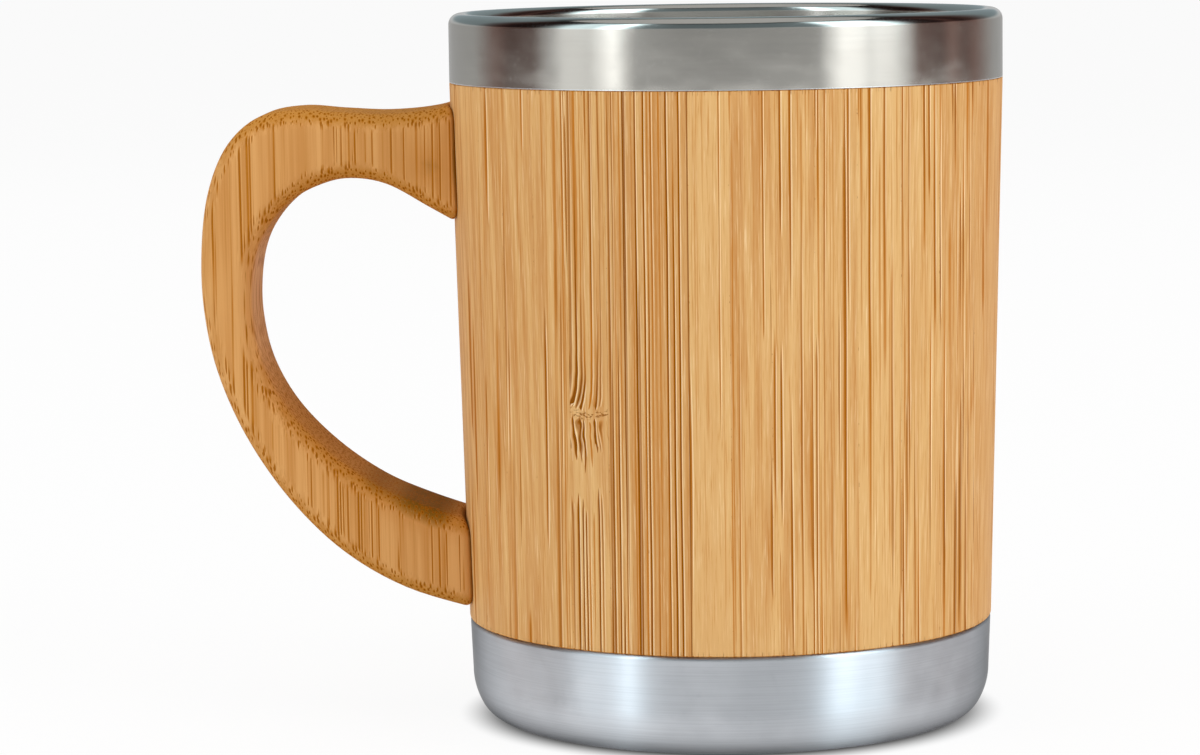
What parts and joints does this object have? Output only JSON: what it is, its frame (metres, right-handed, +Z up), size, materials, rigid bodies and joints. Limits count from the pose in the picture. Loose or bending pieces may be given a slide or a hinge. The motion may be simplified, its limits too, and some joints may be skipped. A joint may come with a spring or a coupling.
{
  "type": "cup",
  "caption": "Straight-sided cup with a steel liner and band, a sleeve of glued bamboo strips, a bamboo side handle and a rounded steel base cap.",
  "frame": {"origin": "centre of the base's flat underside", "axes": "+Z up through the mouth, -X through the handle, -Y towards the viewer of the picture"},
  "size_m": [0.1233, 0.085, 0.109],
  "materials": {
    "liner_steel": "polished band and rim, satin inside",
    "base_steel": "brushed around the cup",
    "sleeve_bamboo": "turned bamboo with a thin satin lacquer",
    "handle_bamboo": "sanded bamboo with a thin satin lacquer",
    "screw_steel": "plain"
  },
  "bodies": {
    "root": {"inner_cup": "liner_steel", "base_cap": "base_steel", "sleeve_strip_left_end": "sleeve_bamboo", "sleeve_strip_right_end": "sleeve_bamboo", "sleeve_strip_front_1": "sleeve_bamboo", "sleeve_strip_front_2": "sleeve_bamboo", "sleeve_strip_front_3": "sleeve_bamboo", "sleeve_strip_front_4": "sleeve_bamboo", "sleeve_strip_front_5": "sleeve_bamboo", "sleeve_strip_front_6": "sleeve_bamboo", "sleeve_strip_front_7": "sleeve_bamboo", "sleeve_strip_front_8": "sleeve_bamboo", "sleeve_strip_front_9": "sleeve_bamboo", "sleeve_strip_front_10": "sleeve_bamboo", "sleeve_strip_front_11": "sleeve_bamboo", "sleeve_strip_front_12": "sleeve_bamboo", "sleeve_strip_front_13": "sleeve_bamboo", "sleeve_strip_back_1": "sleeve_bamboo", "sleeve_strip_back_2": "sleeve_bamboo", "sleeve_strip_back_3": "sleeve_bamboo", "sleeve_strip_back_4": "sleeve_bamboo", "sleeve_strip_back_5": "sleeve_bamboo", "sleeve_strip_back_6": "sleeve_bamboo", "sleeve_strip_back_7": "sleeve_bamboo", "sleeve_strip_back_8": "sleeve_bamboo", "sleeve_strip_back_9": "sleeve_bamboo", "sleeve_strip_back_10": "sleeve_bamboo", "sleeve_strip_back_11": "sleeve_bamboo", "sleeve_strip_back_12": "sleeve_bamboo", "sleeve_strip_back_13": "sleeve_bamboo", "handle": "handle_bamboo", "handle_screws": "screw_steel"}
  },
  "joints": []
}
